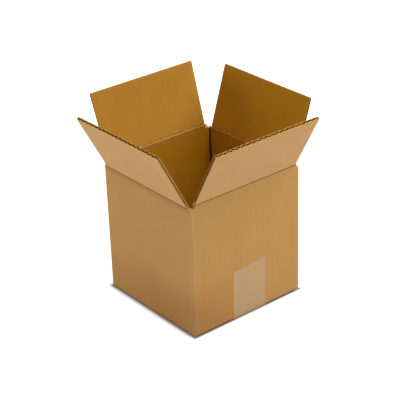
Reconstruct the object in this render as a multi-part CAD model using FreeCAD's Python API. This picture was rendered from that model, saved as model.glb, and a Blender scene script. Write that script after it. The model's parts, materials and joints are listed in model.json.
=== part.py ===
"""Open cardboard carton: one folded sheet of corrugated board with four top flaps and a taped base.

Units are millimetres, +Z is up, and the origin is the middle of the base, on the table.
The front panel faces -Y, the right panel +X, the back panel +Y and the left panel -X.

The carton is a slotted box cut and creased from one sheet. The flutes of the board run
up the panels. The side panels' base flaps lie outside and meet in a seam along Y, which
one strip of tape holds. The glue flap of the back panel is folded round the back right
corner and glued to the outside of the right panel.
"""
import FreeCAD, Part
import math
import os

V = FreeCAD.Vector

# Outside of the standing box
outer_length = 160.0
outer_width = 158.0
crease_height = 161.5

# Board: two liners with a wavy medium between them
board = 3.8
liner = 0.4
medium = 0.35
flute_pitch = 7.8
flute_bend = 1.2

# Creases and slots
corner_radius = 3.0
inner_corner_radius = 0.8
base_radius = 2.0
slot_width = 8.0
slot_overcut = 0.5
base_slot_overcut = 1.5
torn_notch_width = 9.0
torn_notch_height = 4.0
crushed_band = 3.0
layer_gap = 0.2
crease_gap = 0.4
seam_gap = 1.0
fold_chamfer = 0.8
joggle_flat = 0.6
joggle_clearance = 0.3

# How far each top flap leans out from upright, in degrees
front_lean = 29.0
left_lean = 27.6
back_lean = 21.0
right_lean = 17.7

# Glue flap at the back right corner
glue_width = 35.0
glue_thickness = 2.2
glue_end_inset = 12.0
glue_taper = 8.0
raw_edge_gap = 1.5
raw_flute_depth = 2.1

# Tape along the base seam and up both ends, laid a little to the right of the seam
tape_width = 48.0
tape_thickness = 0.1
tape_offset = 1.8
tape_side_clearance = 0.05
tape_front_rise = 64.4
tape_back_rise = 60.0
tape_cut_slant = 3.0

# Sizes that follow from the ones above
half_length = outer_length / 2
half_width = outer_width / 2
slot_inset = slot_width / 2 + board / 2
flap_length = min(outer_length, outer_width) / 2 - seam_gap / 2
side_crease = crease_height
end_crease = crease_height + board + layer_gap
slot_floor = side_crease - slot_overcut
upper_layer = board + layer_gap

# Slack by which a cutting shape passes the faces that it cuts
past = 1.0


def block(low, high):
    """A box between two corners."""
    size = [b - a for a, b in zip(low, high)]
    return Part.makeBox(*size, V(*low))


def prism(points, sweep):
    """A flat outline carried along a vector."""
    corners = [V(*point) for point in points]
    outline = Part.makePolygon(corners + corners[:1])
    return Part.Face(outline).extrude(sweep)


def upright_edges(shape, x, y):
    """The vertical edges of a shape that stand at a plan position."""
    found = []
    for edge in shape.Edges:
        ends = [vertex.Point for vertex in edge.Vertexes]
        if len(ends) == 2 and all(math.hypot(p.x - x, p.y - y) < 1e-6 for p in ends):
            found.append(edge)
    return found


def rounded_column(half_x, half_y, radius, low, high):
    """A rectangular column round the Z axis with rounded upright edges."""
    column = block((-half_x, -half_y, low), (half_x, half_y, high))
    edges = []
    for x in (-half_x, half_x):
        for y in (-half_y, half_y):
            edges += upright_edges(column, x, y)
    return column.makeFillet(radius, edges)


# Each panel has its own frame: x along the panel, y from the outer face inwards, z up.
# The frame turns by a right angle from one panel to the next, in this order.
panels = ["front", "right", "back", "left"]


def is_side(name):
    return name in ("left", "right")


def panel_distance(name):
    """How far a panel's outer face is from the middle of the box."""
    return half_length if is_side(name) else half_width


def panel_length(name):
    return outer_width if is_side(name) else outer_length


def on_panel(shape, name):
    """Moves a shape from a panel's own frame to its place on the box."""
    spin = FreeCAD.Rotation(V(0, 0, 1), 90 * panels.index(name))
    move = FreeCAD.Placement(spin.multVec(V(0, -panel_distance(name), 0)), spin)
    shape.Placement = move.multiply(shape.Placement)
    return shape


def flap_half_span(name):
    """Half the length of a panel between its two slots."""
    return panel_length(name) / 2 - slot_inset


def panel_crease(name):
    """Height of a panel's top crease: the end flaps close over the side flaps."""
    return side_crease if is_side(name) else end_crease


def flute_channel(centre, facing, low, high):
    """The open channel between a liner and one trough of the medium.

    The section lies across the board: a flat side on the liner, two straight flanks
    and a round trough. The medium's middle line is a run of arcs of radius flute_bend
    joined by straight flanks, which cross the middle of the board every half pitch.
    """
    reach = board / 2 - liner - medium / 2
    quarter = flute_pitch / 4
    drop = reach - flute_bend
    span = math.hypot(quarter, drop)
    slope = math.atan2(drop, quarter) + math.asin(flute_bend / span)
    trough = flute_bend - medium / 2
    arc_centre = -drop
    tangent_x = trough * math.sin(slope)
    tangent_y = arc_centre - trough * math.cos(slope)
    liner_y = board / 2 - liner
    liner_x = tangent_x + (liner_y - tangent_y) / math.tan(slope)

    def at(x, y):
        return V(centre + x, board / 2 + facing * y, low)

    right_top = at(liner_x, liner_y)
    right_low = at(tangent_x, tangent_y)
    bottom = at(0, arc_centre - trough)
    left_low = at(-tangent_x, tangent_y)
    left_top = at(-liner_x, liner_y)
    edges = [
        Part.LineSegment(left_top, right_top).toShape(),
        Part.LineSegment(right_top, right_low).toShape(),
        Part.Arc(right_low, bottom, left_low).toShape(),
        Part.LineSegment(left_low, left_top).toShape(),
    ]
    return Part.Face(Part.Wire(edges)).extrude(V(0, 0, high - low))


def flute_channels(half_span, phase, low, high):
    """All the channels of a board that is half_span wide each way."""
    channels = []
    steps = math.ceil(half_span / flute_pitch) + 1
    for step in range(-steps, steps + 1):
        for facing, shift in ((1, 0.0), (-1, flute_pitch / 2)):
            centre = phase + shift + step * flute_pitch
            if abs(centre) < half_span + flute_pitch / 2 - medium:
                channels.append(flute_channel(centre, facing, low, high))
    return Part.makeCompound(channels)


def blank_phase(name):
    """Where the flutes fall on a panel, as they run on round the unfolded sheet."""
    order = ["right", "front", "left", "back"]
    start = sum(panel_length(other) for other in order[:order.index(name)])
    middle = start + panel_length(name) / 2
    return -(middle % flute_pitch)


def top_flap(name, lean):
    """A top flap: a board with its root cut back at the crease and its flutes open at the tip."""
    half_span = flap_half_span(name)
    root = crease_gap / 2
    section = [
        (-half_span, 0, root),
        (-half_span, 0, flap_length),
        (-half_span, board, flap_length),
        (-half_span, board, root + board),
    ]
    flap = prism(section, V(2 * half_span, 0, 0))
    crushed_to = root + board + crushed_band
    flap = flap.cut(flute_channels(half_span, blank_phase(name), crushed_to, flap_length + past))
    flap.rotate(V(0, 0, 0), V(1, 0, 0), lean)
    flap.translate(V(0, 0, panel_crease(name)))
    return on_panel(flap, name)


def wall_ring():
    """The four panels as one ring, up to the higher creases, open at the top and the base."""
    outside = rounded_column(half_length, half_width, corner_radius, base_slot_overcut, end_crease)
    inside = rounded_column(
        half_length - board,
        half_width - board,
        inner_corner_radius,
        base_slot_overcut - past,
        end_crease + past,
    )
    return outside.cut(inside)


def crease_bevel(name):
    """What the crease takes off the top of a panel between its slots, cut at 45 degrees."""
    half_span = flap_half_span(name)
    edge = panel_crease(name) - crease_gap / 2
    top = end_crease + past
    section = [
        (-half_span, -past, edge + past),
        (-half_span, board + past, edge - board - past),
        (-half_span, board + past, top + past),
        (-half_span, -past, top + past),
    ]
    return on_panel(prism(section, V(2 * half_span, 0, 0)), name)


def corner_slot(side_x, side_y):
    """The slot at one upper corner, down to a floor just under the lower creases."""
    low = (half_length - slot_inset, half_width - slot_inset, slot_floor)
    high = (half_length + past, half_width + past, end_crease + past)
    x = sorted((side_x * low[0], side_x * high[0]))
    y = sorted((side_y * low[1], side_y * high[1]))
    return block((x[0], y[0], low[2]), (x[1], y[1], high[2]))


def side_base_flap(name):
    """The foot of a side panel with its base flap, the outer layer of the base."""
    half_span = flap_half_span(name)
    section = [
        (-half_span, 0, base_slot_overcut + base_radius),
        (-half_span, 0, 0),
        (-half_span, flap_length, 0),
        (-half_span, flap_length, board),
        (-half_span, board + fold_chamfer, board),
        (-half_span, board, board + fold_chamfer),
        (-half_span, board, base_slot_overcut + base_radius + board),
        (-half_span, 0, base_slot_overcut + base_radius + board),
    ]
    return on_panel(round_base_edge(prism(section, V(2 * half_span, 0, 0))), name)


def end_base_flap(name):
    """The foot of an end panel with its base flap, which steps up over the outer layer."""
    half_span = flap_half_span(name)
    ramp_start = base_radius + joggle_flat
    ramp_end = slot_inset - joggle_clearance
    section = [
        (-half_span, 0, 0),
        (-half_span, ramp_start, 0),
        (-half_span, ramp_end, upper_layer),
        (-half_span, flap_length, upper_layer),
        (-half_span, flap_length, upper_layer + board),
        (-half_span, board + fold_chamfer, upper_layer + board),
        (-half_span, board, upper_layer + board - fold_chamfer),
        (-half_span, board, upper_layer + 2 * board),
        (-half_span, 0, upper_layer + 2 * board),
    ]
    return on_panel(round_base_edge(prism(section, V(2 * half_span, 0, 0))), name)


def round_base_edge(foot):
    """Rounds the long lower outer edge of a panel's foot, in the panel's own frame."""
    for edge in foot.Edges:
        ends = [vertex.Point for vertex in edge.Vertexes]
        if all(math.hypot(p.y, p.z) < 1e-6 for p in ends):
            return foot.makeFillet(base_radius, [edge])
    return foot


def glue_flap():
    """The flap folded round the back right corner, with its ends cut to a taper."""
    inner = half_length
    outer = half_length + glue_thickness
    free = half_width - glue_width
    low = glue_end_inset
    high = side_crease - glue_end_inset
    root = half_length - corner_radius
    plate = block((inner, free, low), (outer, half_width, high))
    fold = block((root, half_width - board + inner_corner_radius, low), (outer, half_width, high))
    flap = plate.fuse(fold).removeSplitter()
    flap = flap.makeFillet(glue_thickness, upright_edges(flap, outer, half_width))
    for end, step in ((low, glue_taper), (high, -glue_taper)):
        wedge = [
            (inner - past, half_width - glue_thickness, end),
            (inner - past, free - past, end),
            (inner - past, free - past, end + step),
            (inner - past, free, end + step),
        ]
        flap = flap.cut(prism(wedge, V(glue_thickness + 2 * past, 0, 0)))
    return flap


def raw_edge():
    """The gap beside the raw end of the right panel, and the flute that its cut opens."""
    gap_end = half_width - board
    gap_start = gap_end - raw_edge_gap
    low = -past
    high = end_crease + past
    gap = block((half_length - board - past, gap_start, low), (half_length, gap_end, high))
    flute = flute_channel(gap_start + flute_pitch / 2 - raw_flute_depth, 1, low, high)
    return gap.fuse(on_panel(flute, "right"))


def torn_notch():
    """The base slot at the front right corner, which runs on past the crease."""
    low = (half_length - torn_notch_width, -half_width - past, -past)
    high = (half_length + past, -half_width + board + past, torn_notch_height)
    return block(low, high)


def tape_core():
    """The solid that the tape is wrapped round: the lower part of the box, from face to face."""
    rise = max(tape_front_rise, tape_back_rise) + tape_cut_slant + past
    return wrapped_block(half_width, tape_thickness, rise, base_radius)


def wrapped_block(reach, low, high, radius):
    """A block across the box with its two lower edges along X rounded."""
    width = tape_width / 2 + past
    core = block((tape_offset - width, -reach, low), (tape_offset + width, reach, high))
    edges = []
    for edge in core.Edges:
        ends = [vertex.Point for vertex in edge.Vertexes]
        along_x = abs(ends[0].x - ends[1].x) > past
        if along_x and all(abs(p.z - low) < 1e-6 for p in ends):
            edges.append(edge)
    return core.makeFillet(radius, edges)


def tape_bed():
    """What the tape presses out of the carton's underside, so that the base stands flat."""
    left = tape_offset - tape_width / 2 - tape_side_clearance
    right = tape_offset + tape_width / 2 + tape_side_clearance
    slab = block((left, -half_width - past, -past), (right, half_width + past, 2 * base_radius))
    return slab.cut(tape_core())


def bottom_tape():
    """One strip along the base seam, turned up on the front and back panels."""
    left = tape_offset - tape_width / 2
    right = tape_offset + tape_width / 2
    reach = half_width + tape_thickness
    rise = max(tape_front_rise, tape_back_rise) + tape_cut_slant + past
    skin = wrapped_block(reach, 0, rise, base_radius + tape_thickness).cut(tape_core())
    outline = [
        (left, -reach - past, -past),
        (right, -reach - past, -past),
        (right, -reach - past, tape_front_rise + tape_cut_slant / 2),
        (left, -reach - past, tape_front_rise - tape_cut_slant / 2),
    ]
    front = prism(outline, V(0, reach + past, 0))
    back = block((left, 0, -past), (right, reach + past, tape_back_rise))
    return skin.common(front.fuse(back))


def carton():
    """The folded sheet: panels, glue flap and the two layers of base flaps."""
    body = wall_ring()
    cutters = [crease_bevel(name) for name in panels]
    cutters += [corner_slot(x, y) for x in (-1, 1) for y in (-1, 1)]
    body = body.cut(cutters)
    for name in panels:
        foot = side_base_flap(name) if is_side(name) else end_base_flap(name)
        body = body.fuse(foot)
    body = body.fuse(glue_flap()).removeSplitter()
    body = body.cut(raw_edge())
    body = body.cut(torn_notch())
    return body.cut(tape_bed())


def whole(shape):
    """The single solid of a shape, ready to be written."""
    solids = shape.Solids
    if len(solids) != 1:
        raise ValueError(f"expected one solid, found {len(solids)}")
    return solids[0]


nodes = {
    "carton_body": carton(),
    "top_flap_front": top_flap("front", front_lean),
    "top_flap_right": top_flap("right", right_lean),
    "top_flap_back": top_flap("back", back_lean),
    "top_flap_left": top_flap("left", left_lean),
    "bottom_tape": bottom_tape(),
}

os.makedirs("parts", exist_ok=True)
for node, shape in nodes.items():
    solid = whole(shape)
    solid.exportStep(f"parts/{node}.step")
    box = solid.BoundBox
    low = (round(box.XMin, 2), round(box.YMin, 2), round(box.ZMin, 2))
    high = (round(box.XMax, 2), round(box.YMax, 2), round(box.ZMax, 2))
    print(node, low, high, "volume", round(solid.Volume), "valid", solid.isValid())
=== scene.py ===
# %% [markdown]
# # An open cardboard carton
#
# The real thing is one sheet of corrugated board, cut, creased and folded, and one strip of
# packing tape. The solids of the carton are loaded as a fixed frame: they say where each
# panel and crease is, and this scene dresses them. The walls keep their solid and get a
# finish. The four top flaps, the creases and the tape are thin and worn in ways that a
# solid can't show, so they are made again here as surfaces.

# %% Load the frame
import json
import math

import bpy
import numpy as np
from mathutils import Matrix, Vector


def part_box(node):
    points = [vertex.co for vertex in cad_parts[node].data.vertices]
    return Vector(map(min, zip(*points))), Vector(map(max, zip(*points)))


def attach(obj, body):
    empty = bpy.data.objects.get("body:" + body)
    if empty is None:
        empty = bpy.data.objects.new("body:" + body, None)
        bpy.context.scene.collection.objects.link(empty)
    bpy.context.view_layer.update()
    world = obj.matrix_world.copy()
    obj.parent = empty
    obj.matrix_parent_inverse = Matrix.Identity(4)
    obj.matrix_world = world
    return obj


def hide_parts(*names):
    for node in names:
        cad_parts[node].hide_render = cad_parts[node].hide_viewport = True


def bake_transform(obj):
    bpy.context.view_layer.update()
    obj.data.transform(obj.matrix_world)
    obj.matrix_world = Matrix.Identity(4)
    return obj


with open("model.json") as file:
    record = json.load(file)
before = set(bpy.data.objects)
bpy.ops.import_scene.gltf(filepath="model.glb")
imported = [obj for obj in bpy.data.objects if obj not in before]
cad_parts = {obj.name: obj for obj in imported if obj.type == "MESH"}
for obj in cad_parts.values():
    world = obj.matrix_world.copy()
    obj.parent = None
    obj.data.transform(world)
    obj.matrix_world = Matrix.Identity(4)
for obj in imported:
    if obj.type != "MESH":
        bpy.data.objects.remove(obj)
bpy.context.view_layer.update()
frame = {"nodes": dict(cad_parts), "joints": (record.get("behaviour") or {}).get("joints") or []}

# %% [markdown]
# ## Where the creases are
#
# Each top flap turns on its crease, and the frame's hinge gives a point on it and its
# direction. The cross product of that direction with +Z points out of the panel, so three
# short vectors say all that a flap needs. The board's own sizes are the ones that the mill
# makes it in: about 4 mm thick, with a flute every 8 mm. The glue flap sticks out on the
# right, so the carton's half sizes are taken on the left and at the front.
#
# Three small gaps belong to the folds. The bevels of wall and flap start a crease gap away
# from the fold line. The flap's outer paper starts a lip further up. Each side of a flap is
# narrower by the side gap, so that it shuts without rubbing.

# %% Sizes of the box and of its board
mm = 0.001
board = 3.8 * mm
liner = 0.5 * mm
medium = 0.35 * mm
flute_pitch = 7.8 * mm
crease_gap = 0.2 * mm
lip = 0.6 * mm
side_gap = 0.1 * mm
seam = 1.0 * mm
up = np.array([0.0, 0.0, 1.0])
walls_low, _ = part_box("carton_body")
half_length = -walls_low.x
half_width = -walls_low.y
flap_length = half_width - seam / 2
lean = {"front": 29.0, "right": 17.7, "back": 21.0, "left": 27.6}


def crease_of(name):
    """A panel's crease: pivot point, direction along it, way out of the panel, half the flap's span."""
    hinge = next(j for j in frame["joints"] if j["name"] == f"{name}_flap_crease")
    along = np.array(hinge["axis"], float)
    low, high = (np.array(corner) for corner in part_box(f"top_flap_{name}"))
    half_span = abs((high - low) @ along) / 2 - side_gap
    return np.array(hinge["pos_m"], float), along, np.cross(along, up), half_span


creases = {name: crease_of(name) for name in lean}
for name, (pivot, _, _, half_span) in creases.items():
    print(name, "crease at", np.round(1000 * pivot, 1), "flap half span", round(1000 * half_span, 1))

# %% [markdown]
# ## Thin sheets as meshes
#
# Board, paper and tape are all thin sheets, so one builder serves them all: it takes two
# grids of points, the face and the back of a sheet, and closes them with a rim. Which way
# its faces point follows from the sign of the volume that they enclose, so no normals have
# to be guessed. Several closed sheets can share one mesh, each with its own material slot.

# %% Closed sheets from two grids


def sheet(face, back):
    """A closed sheet between two grids of points with the same shape, as points and quads.

    Each grid cell is a quad on the face and a reversed one on the back, and a ring of quads
    joins the two borders. Six times the enclosed volume is the sum, over the triangles, of
    one corner's dot product with the cross product of the other two. Where it is negative,
    the quads are turned round. Each quad also gets the number of its side: 0 on the face,
    1 on the back and 2 on the rim.
    """
    rows, columns, _ = face.shape
    count = rows * columns
    index = np.arange(count).reshape(rows, columns)
    cells = np.stack([index[:-1, :-1], index[1:, :-1], index[1:, 1:], index[:-1, 1:]], axis=-1)
    cells = cells.reshape(-1, 4)
    border = np.concatenate([index[0, :-1], index[:-1, -1], index[-1, :0:-1], index[:0:-1, 0]])
    ahead = np.roll(border, -1)
    rim = np.stack([border, ahead, ahead + count, border + count], axis=-1)
    points = np.concatenate([face.reshape(-1, 3), back.reshape(-1, 3)])
    quads = np.concatenate([cells, cells[:, ::-1] + count, rim])
    sides = np.repeat([0, 1, 2], [len(cells), len(cells), len(rim)])
    a, b, c, d = (points[quads[:, k]] for k in range(4))
    volume = (a * np.cross(b, c)).sum() + (a * np.cross(c, d)).sum()
    return points, quads if volume > 0 else quads[:, ::-1], sides


def on_both_sides(across, along):
    """UV coordinates for all points of a sheet: the same ones on its face and on its back."""
    coordinates = np.stack([across.ravel(), along.ravel()], axis=-1)
    return np.concatenate([coordinates, coordinates])


def make_piece(name, sheets, finishes, sharp_angle=40):
    """A mesh object of closed sheets. A sheet is (points, quads, coordinates, finish numbers).

    The coordinates are metres across and along the flutes, and become the UV map.
    """
    points, quads, coordinates, numbers, start = [], [], [], [], 0
    for sheet_points, sheet_quads, sheet_coordinates, sheet_numbers in sheets:
        points.append(sheet_points)
        quads.append(sheet_quads + start)
        coordinates.append(sheet_coordinates)
        numbers.append(sheet_numbers)
        start += len(sheet_points)
    mesh = bpy.data.meshes.new(name)
    quads = np.concatenate(quads)
    mesh.from_pydata(np.concatenate(points).tolist(), [], quads.tolist())
    for finish in finishes:
        mesh.materials.append(finish)
    mesh.polygons.foreach_set("material_index", np.concatenate(numbers).astype(np.int32))
    layer = mesh.uv_layers.new(name="board")
    corner_coordinates = np.concatenate(coordinates)[quads.ravel()]
    layer.uv.foreach_set("vector", corner_coordinates.astype(np.float32).ravel())
    mesh.shade_smooth()
    mesh.set_sharp_from_angle(angle=math.radians(sharp_angle))
    piece = bpy.data.objects.new(name, mesh)
    bpy.context.collection.objects.link(piece)
    print(name, "made of", len(sheets), "sheets and", 2 * len(quads), "triangles")
    return piece


# %% [markdown]
# ## Shader maths as Python
#
# A finish is a network of small nodes. Wiring them by hand hides what they compute, so a
# tiny class lets an output be added, multiplied and compared like a number, and makes the
# Math nodes itself. Every other node comes from one method that sets its options first and
# its sockets after.

# %% Nodes that can be written as expressions


class Wire:
    """A node's output as a number in an expression."""

    def __init__(self, network, socket):
        self.network = network
        self.socket = socket

    def compute(self, operation, *values):
        """A Math node with the given operation and the values in its sockets."""
        sockets = dict(enumerate(values))
        return self.network.node("ShaderNodeMath", {"operation": operation}, sockets)

    def __add__(self, other):
        return self.compute("ADD", self, other)

    def __sub__(self, other):
        return self.compute("SUBTRACT", self, other)

    def __rsub__(self, other):
        return self.compute("SUBTRACT", other, self)

    def __mul__(self, other):
        return self.compute("MULTIPLY", self, other)

    def __gt__(self, other):
        return self.compute("GREATER_THAN", self, other)

    def __lt__(self, other):
        return self.compute("LESS_THAN", self, other)

    __radd__ = __add__
    __rmul__ = __mul__

    def sine(self):
        """The sine of the number, taken as an angle in radians."""
        return self.compute("SINE", self)

    def size(self):
        """The number without its sign."""
        return self.compute("ABSOLUTE", self)

    def root(self):
        """The square root of the number."""
        return self.compute("SQRT", self)

    def at_least(self, other):
        """The larger of two numbers."""
        return self.compute("MAXIMUM", self, other)

    def at_most(self, other):
        """The smaller of two numbers."""
        return self.compute("MINIMUM", self, other)


class Network:
    """The node tree of a finish or of the world, emptied and ready for new nodes."""

    def __init__(self, tree):
        self.tree = tree
        tree.nodes.clear()

    def node(self, kind, settings=None, sockets=None, output=0):
        """Makes a node: its settings first, then its sockets' values or links."""
        made = self.tree.nodes.new(kind)
        for key, value in (settings or {}).items():
            setattr(made, key, value)
        for key, value in (sockets or {}).items():
            if isinstance(value, Wire):
                self.tree.links.new(value.socket, made.inputs[key])
            else:
                made.inputs[key].default_value = value
        return Wire(self, made.outputs[output]) if made.outputs else made

    def split(self, vector):
        """The three numbers of a vector."""
        made = self.node("ShaderNodeSeparateXYZ", None, {"Vector": vector}).socket.node
        return [Wire(self, made.outputs[k]) for k in range(3)]

    def join(self, x, y, z=0.0):
        """The vector of three numbers."""
        return self.node("ShaderNodeCombineXYZ", None, {"X": x, "Y": y, "Z": z})

    def board_place(self):
        """Metres across the flutes and along them, read from the UV map."""
        across, along, _ = self.split(self.node("ShaderNodeUVMap", {"uv_map": "board"}))
        return across, along

    def noise(self, vector, scale, detail):
        """A soft random number round zero, from about -0.5 to 0.5."""
        sockets = {"Vector": vector, "Scale": scale, "Detail": detail}
        return self.node("ShaderNodeTexNoise", None, sockets) - 0.5

    def streaks(self, across, along, scales, detail):
        """Noise with its own scale across and along, so that its grains are drawn out."""
        return self.noise(self.join(across * scales[0], along * scales[1]), 1.0, detail)

    def mix(self, share, first, second):
        """The colour between two colours."""
        settings = {"data_type": "RGBA", "clamp_factor": True}
        return self.node("ShaderNodeMix", settings, {0: share, 6: first, 7: second}, output=2)

    def step(self, value, low, high):
        """0 below low, 1 above high, and a smooth ramp in between."""
        sockets = {"Value": value, "From Min": low, "From Max": high}
        return self.node("ShaderNodeMapRange", {"interpolation_type": "SMOOTHSTEP"}, sockets)

    def fade(self, value, low, high):
        """1 below low, 0 above high, and a smooth ramp in between."""
        return 1 - self.step(value, low, high)


def colour(red, green, blue):
    """A colour as seen on a screen, 0 to 255, as the linear one that shaders take."""
    shares = np.array([red, green, blue]) / 255
    linear = np.where(shares <= 0.04045, shares / 12.92, ((shares + 0.055) / 1.055) ** 2.4)
    return (*linear.tolist(), 1.0)


# %% [markdown]
# ## The finish of kraft paper
#
# Kraft liner is unbleached pulp. Seen close it is a felt of short fibres, most of them
# across the flutes, with a few dark flecks. Seen from a step away it has soft clouds of
# lighter and darker brown, and the flutes just show as a faint washboard. Each of these is
# a noise or a wave at its own scale. One weighted sum of them is the share between a dark
# and a light brown. Another, in millimetres, is the height that makes the bump.

# %% Kraft paper
cloud_scale, grain_scale = 28.0, 900.0
felt_scales, fleck_scales = (320.0, 1500.0), (260.0, 700.0)
paper_gloss, dull_gloss = 0.25, 0.04


def washboard(distance):
    """A sine wave with one period to a flute, from -1 to 1."""
    return (distance * (2 * math.pi / flute_pitch)).sine()


def kraft_share(network, across, along):
    """How light the paper is, from about 0 to 1, and its height in millimetres.

    across and along are metres across the flutes and along them. The share is a half plus
    parts of the clouds, the felt, the grain and the washboard, less a part of the flecks.
    """
    place = network.join(across, along)
    clouds = network.noise(place, cloud_scale, 3.0)
    felt = network.streaks(across, along, felt_scales, 3.0)
    grain = network.noise(place, grain_scale, 2.0)
    flecks = network.step(network.streaks(across, along, fleck_scales, 0.0), 0.2, 0.3)
    wave = washboard(across)
    share = 0.5 + clouds * 0.5 + felt * 0.3 + grain * 0.25 - flecks * 0.25 + wave * 0.025
    height = felt * 0.03 + grain * 0.02 + wave * 0.012 + clouds * 0.25
    return share, height


def surface(network, base, height, roughness, others):
    """A sheet's shader, with a bump from its height in millimetres, joined to the output.

    Others holds the values of the sockets that only this kind of sheet sets.
    """
    bump = network.node("ShaderNodeBump", None, {"Height": height, "Distance": mm})
    sockets = {"Base Color": base, "Roughness": roughness, "Normal": bump, **others}
    shader = network.node("ShaderNodeBsdfPrincipled", None, sockets)
    network.node("ShaderNodeOutputMaterial", None, {"Surface": shader})


def paper_surface(network, base, height, share, gloss=paper_gloss):
    """The surface of bare paper, which is a little rougher where it is paler."""
    surface(network, base, height, 0.78 + share * 0.1, {"Specular IOR Level": gloss})


def start_finish(name):
    """A new material and its emptied network."""
    material = bpy.data.materials.new(name)
    material.use_nodes = True
    return material, Network(material.node_tree)


def kraft_finish(name, dark, light, paleness=0.0, gloss=paper_gloss):
    """Kraft paper on a piece whose UV map is metres across and along the flutes.

    Paleness is how much paler it is in the first few millimetres from the fold.
    """
    material, network = start_finish(name)
    across, along = network.board_place()
    share, height = kraft_share(network, across, along)
    share = share + network.fade(along, 0.8 * mm, 3.0 * mm) * paleness
    paper_surface(network, network.mix(share, dark, light), height, share, gloss)
    return material


def crease_finish(name, dark, light):
    """Inner liner over a fold, with pale dashes of painted highlight and dents of painted shade."""
    material, network = start_finish(name)
    across, along = network.board_place()
    share, height = kraft_share(network, across, along)
    dashes = network.streaks(across, along, (170.0, 420.0), 2.0)
    # Painted highlights: pale dashes where the wrinkles catch the light.
    paleness = network.step(dashes, 0.06, 0.18) * 0.4
    # Painted shade: dark dents beside the wrinkles.
    shaded = network.step(0 - dashes, 0.05, 0.18) * 0.45
    base = network.mix(share, dark, light)
    base = network.mix(paleness, base, colour(216, 170, 90))
    base = network.mix(shaded, base, colour(112, 68, 16))
    surface(network, base, height + dashes * 0.5, 0.8, {"Specular IOR Level": paper_gloss})
    return material


# %% [markdown]
# ## The browns of the board
#
# The outer paper is a dry, pale brown, and the inner one is yellower and deeper. On the back
# flap the inner paper has a greyer copy of its finish, which paints how the light on that flap looks.
# The hollow between the papers is painted a dark red brown as shade, since light that gets in
# has to bounce off brown paper several times before it comes out. A cut edge is paler than the
# hollow, and the line of a fold is painted in shade, darker than the paper on both sides of it.

# %% Finishes of the flaps and creases
flap_dark, flap_light = colour(184, 141, 86), colour(208, 166, 108)
inner_dark, inner_light = colour(160, 109, 18), colour(188, 137, 34)
# Painted light: a greyer copy of the inner paper, for the back flap and its crease.
lit_greyed_dark, lit_greyed_light = colour(160, 111, 33), colour(188, 139, 54)
# Painted shade: the dark red brown inside the flutes.
hollow_shade_dark, hollow_shade_light = colour(78, 14, 0), colour(98, 30, 4)
edge_dark, edge_light = colour(182, 130, 62), colour(212, 162, 88)
# Painted shade: the fold line is darkened for the shade in the fold's valley.
fold_shade_dark, fold_shade_light = colour(112, 66, 22), colour(134, 86, 34)
outer_liner = kraft_finish("kraft_outer_liner", flap_dark, flap_light, paleness=0.5)
inner_liner = kraft_finish("kraft_inner_liner", inner_dark, inner_light, gloss=dull_gloss)
lit_greyed_liner = kraft_finish("kraft_greyed_liner", lit_greyed_dark, lit_greyed_light, gloss=dull_gloss)
hollow_shade = kraft_finish("kraft_flute_hollow", hollow_shade_dark, hollow_shade_light, gloss=0.0)
cut_edge = kraft_finish("kraft_cut_edge", edge_dark, edge_light, gloss=0.0)
fold_shade = kraft_finish("kraft_fold_line", fold_shade_dark, fold_shade_light, gloss=0.0)
crease_liner = crease_finish("kraft_crease", inner_dark, inner_light)
lit_greyed_crease = crease_finish("kraft_greyed_crease", lit_greyed_dark, lit_greyed_light)
kraft_names = [name for name in bpy.data.materials.keys() if name.startswith("kraft")]
print("finishes:", kraft_names)

# %% [markdown]
# ## Where a point of a flap lies
#
# A knife squeezes the board a little along its cut edges, and storage gives it a slight bow.
# One slot is also cut at a slant. All three are part of one function that turns a place on
# the flat board into a place in the room, so whatever is drawn on a flap follows them.

# %% A point of a flap
slot_trim = {"back": 5 * mm}
side_squeeze, side_squeeze_width = 0.14, 2.0 * mm
tip_squeeze, tip_squeeze_width = 0.08, 1.5 * mm
tip_bow = 0.5 * mm


def bell(distance, width):
    """A bell curve: e to the power of minus the square of the distance over the width."""
    return np.exp(-((distance / width) ** 2))


def trimmed(name, across, along):
    """Where a place across a flap lies once its slots are cut.

    The slot beside the back flap is cut at a slant: the flap's start is moved in by the trim
    at the crease and by nothing at the tip, and the move fades with the square of the way
    across from that side to the middle.
    """
    share = np.clip(-across / creases[name][3], 0, 1) ** 2 * (1 - along / flap_length)
    return across + slot_trim.get(name, 0.0) * share


def flap_point(name, across, along, depth):
    """A point of a flap: metres across from its middle, up from the crease, in from its outer face.

    The board leans out by its angle from upright. Near the cut edges the thickness shrinks
    by a bell curve of the distance to the edge, and the tip bows in by the square of the
    way up.
    """
    pivot, direction, outward, half_span = creases[name]
    angle = math.radians(lean[name])
    run = math.sin(angle) * outward + math.cos(angle) * up
    inward = -math.cos(angle) * outward + math.sin(angle) * up
    thick = 1 - side_squeeze * bell(half_span - abs(across), side_squeeze_width)
    thick = thick - tip_squeeze * bell(flap_length - along, tip_squeeze_width)
    bow = tip_bow * (along / flap_length) ** 2 * (1 - (across / half_span) ** 2)
    depth = board / 2 + (depth - board / 2) * thick + bow
    grids = np.broadcast_arrays(trimmed(name, across, along), along, depth)
    across, along, depth = (grid[..., None] for grid in grids)
    return pivot + across * direction + along * run + depth * inward


for name in creases:
    print(name, "flap's tip at", np.round(1000 * flap_point(name, 0.0, flap_length, 0.0), 1))

# %% [markdown]
# ## The four top flaps
#
# A flap is a real sandwich here, because its cut edges face the viewer: an outer liner, an
# inner liner and a wavy medium between them, each a closed sheet. Open flutes end at the
# tip, which gives the row of dark holes that everyone knows from cardboard. The three
# sheets take their finishes by number from one list: outer paper, inner paper, the painted
# shade of the hollow and cut edge.

# %% Flaps of corrugated board
outer_side, inner_side, hollow_side, cut_side = range(4)
steps_across, steps_along, steps_per_flute = 24, 14, 16
side_crush = {"front": 0.1 * mm, "right": 0.3 * mm, "back": 0.8 * mm, "left": 1.5 * mm}
crush_width, burr_width = 1.2 * mm, 0.8 * mm
outer_crush, inner_crush = 0.1, 0.9


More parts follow.
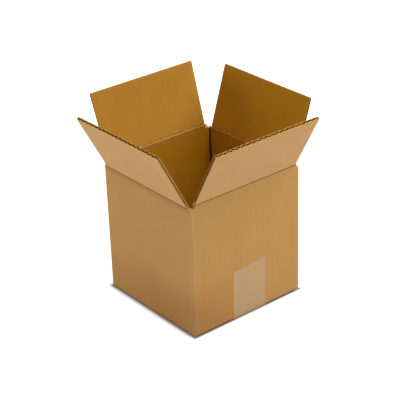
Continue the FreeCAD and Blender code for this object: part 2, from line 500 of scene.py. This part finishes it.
def board_sheet(name, across, along, face, back, side_finishes):
    """One paper of the board: a closed sheet between two depths.

    The three finish numbers are for its face, its back and its rim.
    """
    across, along = np.meshgrid(across, along, indexing="ij")
    face_points = flap_point(name, across, along, face)
    back_points = flap_point(name, across, along, back)
    points, quads, sides = sheet(face_points, back_points)
    return points, quads, on_both_sides(across, along), np.array(side_finishes)[sides]


def edge_steps(low, high, count, edge=6 * mm):
    """Steps from low to high that crowd together in the last few millimetres at both ends."""
    ends = edge * np.array([0.0, 0.12, 0.25, 0.4, 0.65])
    middle = np.linspace(low + edge, high - edge, count)
    return np.concatenate([low + ends, middle, (high - ends)[::-1]])


def flute_wave(across):
    """How far the medium's middle is from the outer face: half the board plus a sine wave."""
    swing = board / 2 - liner - medium / 2
    return board / 2 + swing * np.sin(2 * np.pi * across / flute_pitch)


def make_flap(name):
    """A top flap: outer liner, inner liner and medium, from the bevel at the crease to the tip.

    The slotting knife crushes the sides, so there the liners' backs swell into the hollow
    by a bell curve of the distance to the side. The tip's knife leaves a burr on the medium
    in the same way.
    """
    half_span = creases[name][3]
    across = edge_steps(-half_span, half_span, steps_across)
    outer_run = edge_steps(crease_gap + lip, flap_length, steps_along)
    inner_run = edge_steps(crease_gap + board, flap_length, steps_along)
    flutes = round(2 * half_span / flute_pitch)
    fine = np.linspace(-half_span, half_span, steps_per_flute * flutes + 1)
    medium_run = inner_run[1::2]
    wave = flute_wave(fine)[:, None]
    swell = side_crush[name] * bell(half_span - abs(across), crush_width)[:, None]
    half_medium = medium / 2 * (1 + bell(flap_length - medium_run, burr_width))
    outer_back = liner + outer_crush * swell
    inner_back = board - liner - inner_crush * swell
    outer_sides = (outer_side, hollow_side, cut_side)
    inner_sides = (inner_side, hollow_side, cut_side)
    medium_sides = (hollow_side, hollow_side, cut_side)
    sheets = [
        board_sheet(name, across, outer_run, 0.0, outer_back, outer_sides),
        board_sheet(name, across, inner_run, board, inner_back, inner_sides),
        board_sheet(name, fine, medium_run, wave - half_medium, wave + half_medium, medium_sides),
    ]
    # The back flap's inner paper is the greyer copy, which paints its light.
    facing = lit_greyed_liner if name == "back" else inner_liner
    piece = make_piece(f"flap_board_{name}", sheets, [outer_liner, facing, hollow_shade, cut_edge])
    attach(piece, f"{name}_flap")
    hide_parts(f"top_flap_{name}")


for name in creases:
    make_flap(name)

# %% [markdown]
# ## The creases
#
# At a crease the board is crushed flat by a wheel and then bent: the outer liner shuts into
# a fine line, and the inner liner stretches over a low ridge with small wrinkles. A crease
# is a closed fan of paper between the wall's bevel and the flap's.
# In the code the turn is the way round the fan, from 0 at the wall to 1 at the flap.

# %% Creases between the walls and the flaps
ridge_height = {"front": 0.3 * mm, "right": 0.3 * mm, "back": 0.5 * mm, "left": 0.3 * mm}
ridge_place, ridge_width = 0.45, 0.11
groove_place, groove_width = 0.72, 0.1
paper_inset, pinch_depth = 0.02 * mm, 0.25 * mm
crease_width = 9 * mm
crease_steps, turn_steps = 150, 21


def wrinkles(across, seed):
    """A wavy line from about -1 to 1 along a crease: four sines with unrelated lengths."""
    lengths = np.array([23.0, 11.3, 6.1, 3.7]) * mm
    strengths = np.array([0.35, 0.3, 0.25, 0.2])
    shifts = np.array([0.0, 1.7, 3.1, 4.4]) * (1 + seed)
    waves = np.sin(2 * np.pi * across[..., None] / lengths + shifts)
    return (strengths * waves).sum(axis=-1)


def ridge_profile(turn, wavy):
    """How high the inner side stands at each turn: a ridge less 0.7 of a groove beside it.

    Both are bell curves of the turn. The wrinkles move them to and fro, and make the ridge
    higher where they make the groove shallower.
    """
    ridge = bell(turn - ridge_place - 0.08 * wavy, ridge_width) * (1 + 0.9 * wavy)
    groove = bell(turn - groove_place - 0.08 * wavy, groove_width) * (0.6 - 0.8 * wavy)
    return ridge - 0.7 * groove


def make_crease(name, seed):
    """The bent board between a wall and its flap.

    In the section, the inner side is a quadratic curve from the wall's inner corner to the
    flap's, pulled towards the point where their planes meet, with the ridge added to it.
    The outer side is a straight line, pinched in by a sine of the turn.
    """
    pivot, direction, outward, half_span = creases[name]
    angle = math.radians(lean[name])
    length = np.linspace(-half_span, half_span, crease_steps)
    across, turn = np.meshgrid(length, np.linspace(0, 1, turn_steps), indexing="ij")
    base = pivot + trimmed(name, across, 0.0)[..., None] * direction
    wall_corner = base - board * outward - (crease_gap + board) * up
    flap_corner = flap_point(name, across, crease_gap + board, board)
    reach = ((flap_corner - wall_corner) ** 2).sum(axis=-1) ** 0.5 / (2 * math.cos(angle / 2))
    meeting = wall_corner + reach[..., None] * up
    q = turn[..., None]
    inner = (1 - q) ** 2 * wall_corner + 2 * q * (1 - q) * meeting + q ** 2 * flap_corner
    bisector = math.cos(angle / 2) * -outward + math.sin(angle / 2) * up
    raised = ridge_height[name] * ridge_profile(turn, wrinkles(across, seed))
    inner = inner + raised[..., None] * bisector
    wall_lip = base - paper_inset * outward - 1.1 * crease_gap * up
    flap_lip = flap_point(name, across, crease_gap + 1.1 * lip, paper_inset)
    outer = (1 - q) * wall_lip + q * flap_lip + pinch_depth * np.sin(np.pi * q) * bisector
    points, quads, sides = sheet(outer, inner)
    coordinates = on_both_sides(across, crease_width * turn)
    # The back crease takes the greyer copy, which paints its light.
    papers = [fold_shade, lit_greyed_crease if name == "back" else crease_liner, cut_edge]
    piece = make_piece(f"crease_{name}", [(points, quads, coordinates, sides)], papers, sharp_angle=60)
    tangent = math.sin(angle / 2) * outward + math.cos(angle / 2) * up
    end = (crease_gap + board) * math.cos(angle / 2) + board * math.sin(angle / 2)
    tuple(pivot - end * tangent)
    tuple(pivot + end * tangent)
    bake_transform(piece)


for seed, name in enumerate(creases):
    make_crease(name, seed)

# %% [markdown]
# ## The tape
#
# The tape is a thin film that runs under the base along the seam and up both ends. Its cut
# ends have the small teeth of the dispenser's blade. It is one strip, so it is a section
# carried across its width: down the front, round the edge, along the base and up the back.

# %% Packing tape
tape_thickness = 0.1 * mm
base_radius = 2.0 * mm
tape_low, tape_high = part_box("bottom_tape")
front_rise, back_rise, cut_slant = 64.4 * mm, 60.0 * mm, 3.0 * mm
tooth_pitch, tooth_height = 1.6 * mm, 0.7 * mm
pull_depth = 0.6 * mm
corner_steps, rise_steps, steps_per_tooth = 7, 13, 4


def tape_section(across, offset):
    """The strip's section at each place across it, at some distance out from the board.

    The teeth are a triangle wave. The front end is also cut at a slant and was pulled off
    by hand, so a slow sine wave makes it uneven. The corners are quarter circles.
    """
    share = (across - across[0]) / (across[-1] - across[0])
    teeth = tooth_height * abs(2 * ((across / tooth_pitch) % 1) - 1)
    pulled = pull_depth * (np.sin(4.5 * np.pi * share + 0.8) - 1)
    front_top = front_rise + cut_slant * (share - 0.5) - teeth + pulled
    back_top = back_rise - teeth
    turn = np.linspace(0, np.pi / 2, corner_steps)
    radius = base_radius + offset
    corner_y = -half_width + base_radius - radius * np.cos(turn)
    corner_z = base_radius + tape_thickness - radius * np.sin(turn)
    down = np.linspace(0, 1, rise_steps + 1)[:-1]
    ones = np.ones(len(across))[:, None]
    front_drop = front_top[:, None] * (1 - down) + corner_z[0] * down
    back_climb = (back_top[:, None] * (1 - down) + corner_z[0] * down)[:, ::-1]
    upright = np.full(front_drop.shape, corner_y[0])
    y = np.concatenate([upright, ones * corner_y, -ones * corner_y[::-1], -upright], axis=1)
    z = np.concatenate([front_drop, ones * corner_z, ones * corner_z[::-1], back_climb], axis=1)
    return np.stack([np.broadcast_to(across[:, None], y.shape), y, z], axis=-1)


def make_tape(finish):
    """The strip of tape as one closed sheet. Its UV map is metres across it and along it."""
    teeth = round((tape_high.x - tape_low.x) / tooth_pitch)
    across = np.linspace(tape_low.x, tape_high.x, steps_per_tooth * teeth + 1)
    face = tape_section(across, tape_thickness)
    back = tape_section(across, 0.0)
    points, quads, sides = sheet(face, back)
    steps = np.linalg.norm(np.diff(face, axis=1), axis=-1)
    way = np.concatenate([np.zeros((len(across), 1)), np.cumsum(steps, axis=1)], axis=1)
    coordinates = on_both_sides(face[..., 0], way)
    piece = make_piece("packing_tape", [(points, quads, coordinates, 0 * sides)], [finish])
    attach(piece, "carton")
    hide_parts("bottom_tape")


def tape_finish():
    """A clear brownish film with glue on its back: the board shows through, paler and greyer."""
    material, network = start_finish("tape_film")
    across, along = network.board_place()
    clouds = network.noise(network.join(across, along), 40.0, 2.0)
    bubbles = network.streaks(across, along, (60.0, 140.0), 1.0)
    share = 0.5 + clouds * 0.6 + bubbles * 0.3
    base = network.mix(share, colour(166, 130, 80), colour(181, 147, 96))
    height = clouds * 0.2 + bubbles * 0.05
    surface(network, base, height, 0.32 + bubbles * 0.2, {"IOR": 1.5})
    return material


make_tape(tape_finish())

# %% [markdown]
# ## The walls
#
# The walls, the base flaps and the glue flap are one rigid folded sheet, and their solid
# already has the right shape. So it stays and only gets a finish, which has to work out
# from a point's place what the solid can't tell it: which panel it is on, whether it is
# the outer or the inner liner, and how far it is from the fold above it.

# %% A place on the walls
side_fold, front_fold = creases["left"][0][2], creases["front"][0][2]
hair = 0.1 * mm
side_shift = 0.41


class WallPlace:
    """Where a point of the walls lies, from its place in the room and the way that it faces.

    Lengths are in metres, and depths are measured in from the outside. A share is 1 where
    something holds and 0 where it doesn't. The side panels' paper is shifted along, so that
    they don't show the same clouds as the front and back.
    """

    def __init__(self, network):
        self.x, self.y, self.z = network.split(network.node("ShaderNodeTexCoord", None, None, output=3))
        normal = network.split(network.node("ShaderNodeNewGeometry", None, None, output=1))
        self.upward = normal[2]
        self.on_side = normal[0].size() > normal[1].size()
        along_panel = self.on_side * self.y + (1 - self.on_side) * self.x
        self.across = along_panel + self.on_side * side_shift
        self.depth_x = half_length - self.x.size()
        self.depth_y = half_width - self.y.size()
        self.depth = self.depth_x.at_most(self.depth_y)
        self.inside = (self.depth > board - hair) * (self.z > board + hair)
        self.outside = 1 - self.inside
        self.skin = self.depth < 3 * hair
        self.below_fold = self.on_side * side_fold + (1 - self.on_side) * front_fold - self.z


print("folds at", [round(1000 * height, 1) for height in (side_fold, front_fold)], "mm")

# %% [markdown]
# ## Paper, painted light and shade, and scuffs
#
# The outer paper has a painted highlight on the rounded corners. It has painted shade low
# down towards the front left corner, along the sole, where it is also a little scuffed, just
# under the folds and below the side flaps. The sheet's two ends meet in the back right corner
# with a gap between them, whose shade is painted dark.

# %% Paper of the walls
wall_dark, wall_light = colour(176, 130, 70), colour(198, 151, 88)
wall_inner_dark, wall_inner_light = colour(164, 112, 4), colour(192, 140, 14)
joint_gap = 1.5 * mm


def plain_paper(network, place, share):
    """The outer and the inner paper, with a painted highlight on the rounded corners."""
    outer = network.mix(share, wall_dark, wall_light)
    inner = network.mix(share, wall_inner_dark, wall_inner_light)
    paper = network.mix(place.inside, outer, inner)
    nearest_edge = place.depth_x.at_least(place.depth_y)
    # Painted highlight along the rounded corners.
    corner = network.fade(nearest_edge, 1.5 * mm, 4.5 * mm) * place.outside
    return network.mix(corner * 0.25, paper, colour(214, 176, 122))


def joint_share(place):
    """1 in the gap between the sheet's two ends, whose shade is painted dark, and 0 elsewhere."""
    beside_end = (place.x > half_length - board - joint_gap) * (place.depth_x > hair)
    in_corner = (place.y > half_width - board - joint_gap - 2 * hair) * (place.depth_y > board - hair)
    return beside_end * in_corner * (place.z < side_fold - mm) * (place.z > 3 * board)


def shaded_and_scuffed_paper(network, place, paper):
    """The paper's painted shade and scuffs: each a share, how strong it is, and the colour it pulls to.
    """
    # Painted shade low down towards the front left, where the floor by the carton is shaded.
    toward_front_left = network.fade(place.x + 0.55 * place.y, -125 * mm, -5 * mm)
    low_down = network.fade(place.z, 20 * mm, 80 * mm) * place.outside
    # Painted shade of the gap under the folded edge along the sole, and partly scuffs.
    sole = network.fade(place.z, 1.2 * mm, 3.0 * mm) * place.outside * (place.upward > -0.95)
    # Painted shade in the fold's valley, just under each fold.
    fold = network.fade(place.below_fold, 0.3 * mm, 1.5 * mm) * place.skin
    # Painted shade that the leaning side flaps cast just below their folds.
    shaded = network.fade(place.below_fold, 1.5 * mm, 9 * mm) * place.skin * place.on_side
    shades_and_scuffs = [
        (low_down * toward_front_left, 0.36, colour(128, 68, 8)),
        (sole, 0.95, colour(36, 16, 6)),
        (fold, 0.7, colour(120, 76, 34)),
        (shaded, 0.25, colour(128, 84, 38)),
        # Painted shade in the gap between the sheet's two ends.
        (joint_share(place), 1.0, colour(62, 10, 0)),
    ]
    for where, strength, pull_colour in shades_and_scuffs:
        paper = network.mix(where * strength, paper, pull_colour)
    return paper


# %% [markdown]
# ## Cut edges
#
# Where the corner slots cut through the walls, the flutes lie open. The solid is filled
# there, so the finish draws the two papers and the wavy medium on it, on a darker ground of
# painted shade for the open hollows, and tells them from the rest by the height and by the
# way that the surface faces.

# %% Finish of the walls
slots_start = 150 * mm


def flute_ends(network, place):
    """Board seen end on: pale papers and a pale wave, on a darker ground of painted hollow shade."""
    on_end = place.depth_x < place.depth_y
    run = on_end * place.y + (1 - on_end) * place.x
    middle = board / 2 + washboard(run) * (board / 2 - liner)
    on_medium = network.fade((place.depth - middle).size(), 0.25 * mm, 0.45 * mm)
    on_liner = (place.depth < liner).at_least(place.depth > board - liner)
    # The darker colour is painted shade of the open hollows.
    return network.mix(on_medium.at_least(on_liner), colour(166, 122, 72), colour(216, 176, 118))


def wall_finish():
    """Kraft paper with painted shade on the walls, and open flutes on the up-facing edges near the top.
    """
    material, network = start_finish("kraft_walls")
    place = WallPlace(network)
    share, height = kraft_share(network, place.across, place.z)
    paper = shaded_and_scuffed_paper(network, place, plain_paper(network, place, share))
    cut = (place.upward > 0.9) * (place.z > slots_start)
    base = network.mix(cut, paper, flute_ends(network, place))
    paper_surface(network, base, height, share)
    return material


walls = frame["nodes"]["carton_body"]
walls.data.materials.clear()
walls.data.materials.append(wall_finish())
print("walls:", walls.name, "with", walls.data.materials[0].name)

# %% [markdown]
# ## The floor
#
# The carton stands on a plain white floor. A floor lit by lamps alone would be grey, so it
# also glows, but only for what the camera sees, and that adds no light to the carton. Light
# can't reach under a folded edge, so a contact shadow is painted on the floor in the last
# millimetres before it.
# The distance from the carton's outline is the root of the sum of two squares, which rounds
# the shadow's corners.

# %% Floor
floor_half = 8.0
# The dark ends of both ramps are the painted contact shadow.
glow_ramp, matte_ramp = (1.5 * mm, 7 * mm), (0.2 * mm, 2.2 * mm)
glow_colours = (0.14, 0.14, 0.13, 1.0), (0.7, 0.7, 0.7, 1.0)
matte_colours = (0.15, 0.14, 0.12, 1.0), (0.8, 0.8, 0.8, 1.0)


def seen_share(network):
    """1 for what the camera sees, straight, reflected or through glass, and 0 for all other light."""
    path = network.node("ShaderNodeLightPath").socket.node
    kinds = ("Is Camera Ray", "Is Glossy Ray", "Is Transmission Ray")
    straight, reflected, through = (Wire(network, path.outputs[kind]) for kind in kinds)
    return straight.at_least(reflected).at_least(through)


def floor_finish():
    """White to the camera, with a painted contact shadow in the last millimetres by the carton."""
    material, network = start_finish("white_floor")
    x, y, _ = network.split(network.node("ShaderNodeTexCoord", None, None, output=3))
    away_x = (x.size() - half_length).at_least(0.0)
    away_y = (y.size() - half_width).at_least(0.0)
    away = (away_x * away_x + away_y * away_y).root()
    glow = network.mix(network.step(away, *glow_ramp), *glow_colours)
    ground = network.mix(network.step(away, *matte_ramp), *matte_colours)
    lift = network.node("ShaderNodeEmission", None, {"Color": glow, "Strength": seen_share(network)})
    matte = network.node("ShaderNodeBsdfDiffuse", None, {"Color": ground})
    both = network.node("ShaderNodeAddShader", None, {0: lift, 1: matte})
    network.node("ShaderNodeOutputMaterial", None, {"Surface": both})
    return material


floor_mesh = bpy.data.meshes.new("floor")
corners = floor_half * np.array([(-1, -1, 0), (1, -1, 0), (1, 1, 0), (-1, 1, 0)])
floor_mesh.from_pydata(corners.tolist(), [], [(0, 1, 2, 3)])
floor_mesh.materials.append(floor_finish())
floor = bpy.data.objects.new("floor", floor_mesh)
bpy.context.collection.objects.link(floor)
print("floor:", 2 * floor_half, "m wide")

# %% [markdown]
# ## The light
#
# The light is soft, as in a photographer's tent: a broad source overhead, a key high on the
# right, a weaker one in front, and a low fill from the back left that opens up the left wall.
# The source overhead is the world itself, bright only near its top.

# %% World and lamps
horizon_level, zenith_level = 0.1, 1.75
bright_from, brightest_from = 0.65, 0.85
lamp_distance, lamp_width, lamp_height = 2.2, 1.2, 0.9
lamp_target = Vector((0, 0, 0.1))


def light_world():
    """A broad soft light overhead and a little from all round; white where it is seen."""
    world = bpy.data.worlds.new("studio")
    bpy.context.scene.world = world
    world.use_nodes = True
    network = Network(world.node_tree)
    _, _, height = network.split(network.node("ShaderNodeTexCoord", None, None, output=0))
    overhead = network.step(height, bright_from, brightest_from)
    level = horizon_level + overhead * (zenith_level - horizon_level)
    shown = seen_share(network)
    strength = shown + (1 - shown) * level
    background = network.node("ShaderNodeBackground", None, {"Strength": strength})
    network.node("ShaderNodeOutputWorld", None, {"Surface": background})


def add_lamp(name, azimuth, elevation, power):
    """A soft box aimed at the carton's middle. Azimuth 0 is in front of it and 90 to its right."""
    a, e = math.radians(azimuth), math.radians(elevation)
    away = Vector((math.sin(a) * math.cos(e), -math.cos(a) * math.cos(e), math.sin(e)))
    light = bpy.data.lights.new(name, "AREA")
    light.shape = "RECTANGLE"
    light.size = lamp_width
    light.size_y = lamp_height
    light.energy = power
    lamp = bpy.data.objects.new(name, light)
    lamp.matrix_world = away.to_track_quat("Z", "Y").to_matrix().to_4x4()
    lamp.location = away * lamp_distance + lamp_target
    bpy.context.collection.objects.link(lamp)
    print(name, "lamp at", [round(v, 2) for v in lamp.location])


light_world()
add_lamp("key", 80, 45, 34)
add_lamp("front", 20, 45, 17)
add_lamp("fill", -130, 12, 17)

# %% [markdown]
# ## The camera
#
# The camera looks down at the carton from the front left through a long lens. Its numbers
# come from fitting a camera to the carton's corners in the photograph: where it aims, how
# far off it is, how it is turned, and how many pixels its focal length is.

# %% Camera
azimuth, elevation, roll = (math.radians(v) for v in (-38.61, 27.13, -2.03))
focal_pixels, frame_pixels, sensor_width = 1313.0, 400, 36.0
distance = 1521.5 * mm
target = Vector((-0.26, 3.75, 115.4)) * mm


def add_camera():
    """A camera on the line of sight: its axes are right, up and back, turned by the roll."""
    back = Vector((
        math.sin(azimuth) * math.cos(elevation),
        -math.cos(azimuth) * math.cos(elevation),
        math.sin(elevation),
    ))
    right = (-back).cross(Vector((0, 0, 1))).normalized()
    above = back.cross(right)
    tilted_right = math.cos(roll) * right + math.sin(roll) * above
    tilted_above = -math.sin(roll) * right + math.cos(roll) * above
    data = bpy.data.cameras.new("camera")
    data.sensor_width = sensor_width
    data.lens = sensor_width * focal_pixels / frame_pixels
    camera = bpy.data.objects.new("camera", data)
    camera.matrix_world = Matrix((tilted_right, tilted_above, back)).transposed().to_4x4()
    camera.location = target + distance * back
    bpy.context.collection.objects.link(camera)
    bpy.context.scene.camera = camera
    print("camera at", [round(v, 3) for v in camera.location], "lens", round(data.lens, 1))


add_camera()
bpy.context.scene.view_settings.view_transform = "Standard"
